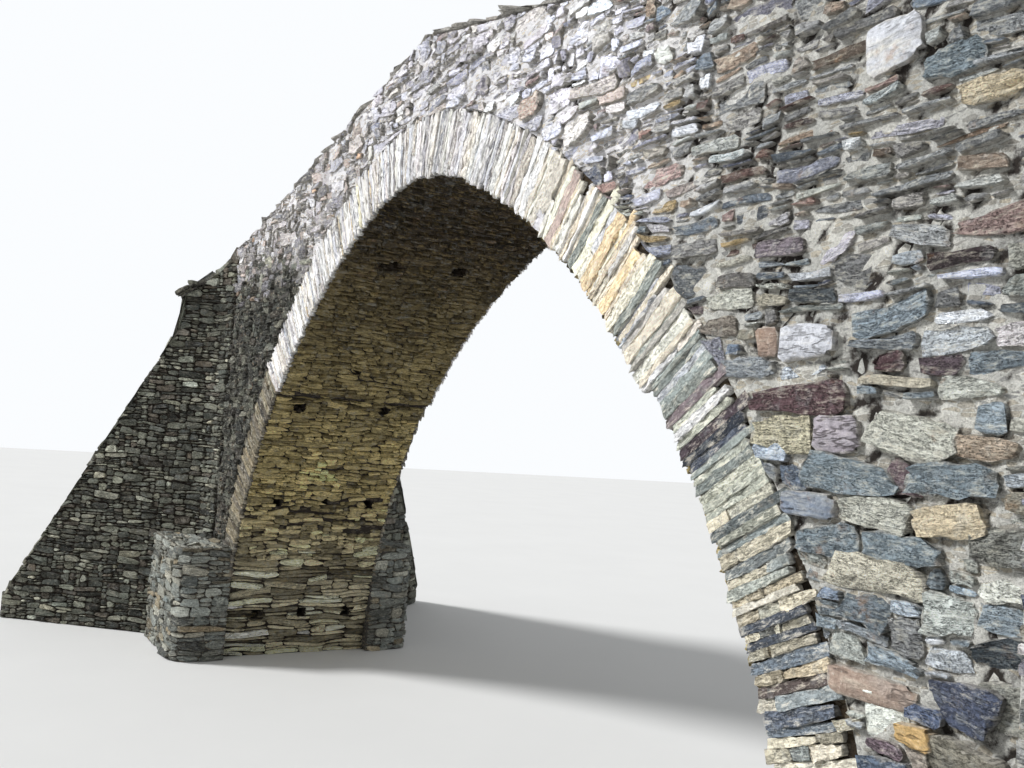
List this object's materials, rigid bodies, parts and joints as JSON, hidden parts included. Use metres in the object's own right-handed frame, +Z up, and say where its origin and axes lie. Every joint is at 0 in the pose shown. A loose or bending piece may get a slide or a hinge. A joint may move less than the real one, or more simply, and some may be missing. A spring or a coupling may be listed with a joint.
{
  "type": "stone arch bridge",
  "caption": "Narrow humped stone arch bridge with a tall slab arch, rubble walls, parapets and splayed wing walls.",
  "frame": {"origin": "on the ground line, under the middle of the arch and midway across the bridge", "axes": "+X along the road, +Y across it away from the pictured face, +Z up"},
  "size_m": [20.7456, 8.432, 8.4989],
  "materials": {
    "arch_slabs": "thin riven slate slabs on edge",
    "soffit_stone": "thin coursed slabs, ochre wash",
    "rubble": "mixed schist and slate rubble in lime mortar",
    "wing_rubble": "dark thin slate rubble, open joints",
    "coping_slabs": "flat riven slabs",
    "paving": "worn pitched cobbles",
    "footing_stone": "mortar-washed rubble",
    "core": "rubble core"
  },
  "bodies": {
    "root": {"back_arch_ring": "arch_slabs", "back_left_coping": "coping_slabs", "back_left_footing": "footing_stone", "back_left_parapet": "rubble", "back_left_ring_foot": "arch_slabs", "back_left_spandrel": "rubble", "back_left_wing": "wing_rubble", "back_right_coping": "coping_slabs", "back_right_footing": "footing_stone", "back_right_parapet": "rubble", "back_right_ring_foot": "arch_slabs", "back_right_spandrel": "rubble", "back_right_wing": "wing_rubble", "crest_paving": "paving", "front_arch_ring": "arch_slabs", "front_left_coping": "coping_slabs", "front_left_footing": "footing_stone", "front_left_parapet": "rubble", "front_left_ring_foot": "arch_slabs", "front_left_spandrel": "rubble", "front_left_wing": "wing_rubble", "front_right_coping": "coping_slabs", "front_right_footing": "footing_stone", "front_right_parapet": "rubble", "front_right_ring_foot": "arch_slabs", "front_right_spandrel": "rubble", "front_right_wing": "wing_rubble", "left_abutment": "rubble", "left_fill": "core", "left_high_socket_row": "soffit_stone", "left_low_socket_row": "soffit_stone", "left_paving": "paving", "left_vault_base": "soffit_stone", "left_vault_flank": "soffit_stone", "left_vault_haunch": "soffit_stone", "right_abutment": "rubble", "right_fill": "core", "right_high_socket_row": "soffit_stone", "right_low_socket_row": "soffit_stone", "right_paving": "paving", "right_vault_base": "soffit_stone", "right_vault_flank": "soffit_stone", "right_vault_haunch": "soffit_stone", "vault": "soffit_stone"}
  },
  "joints": []
}
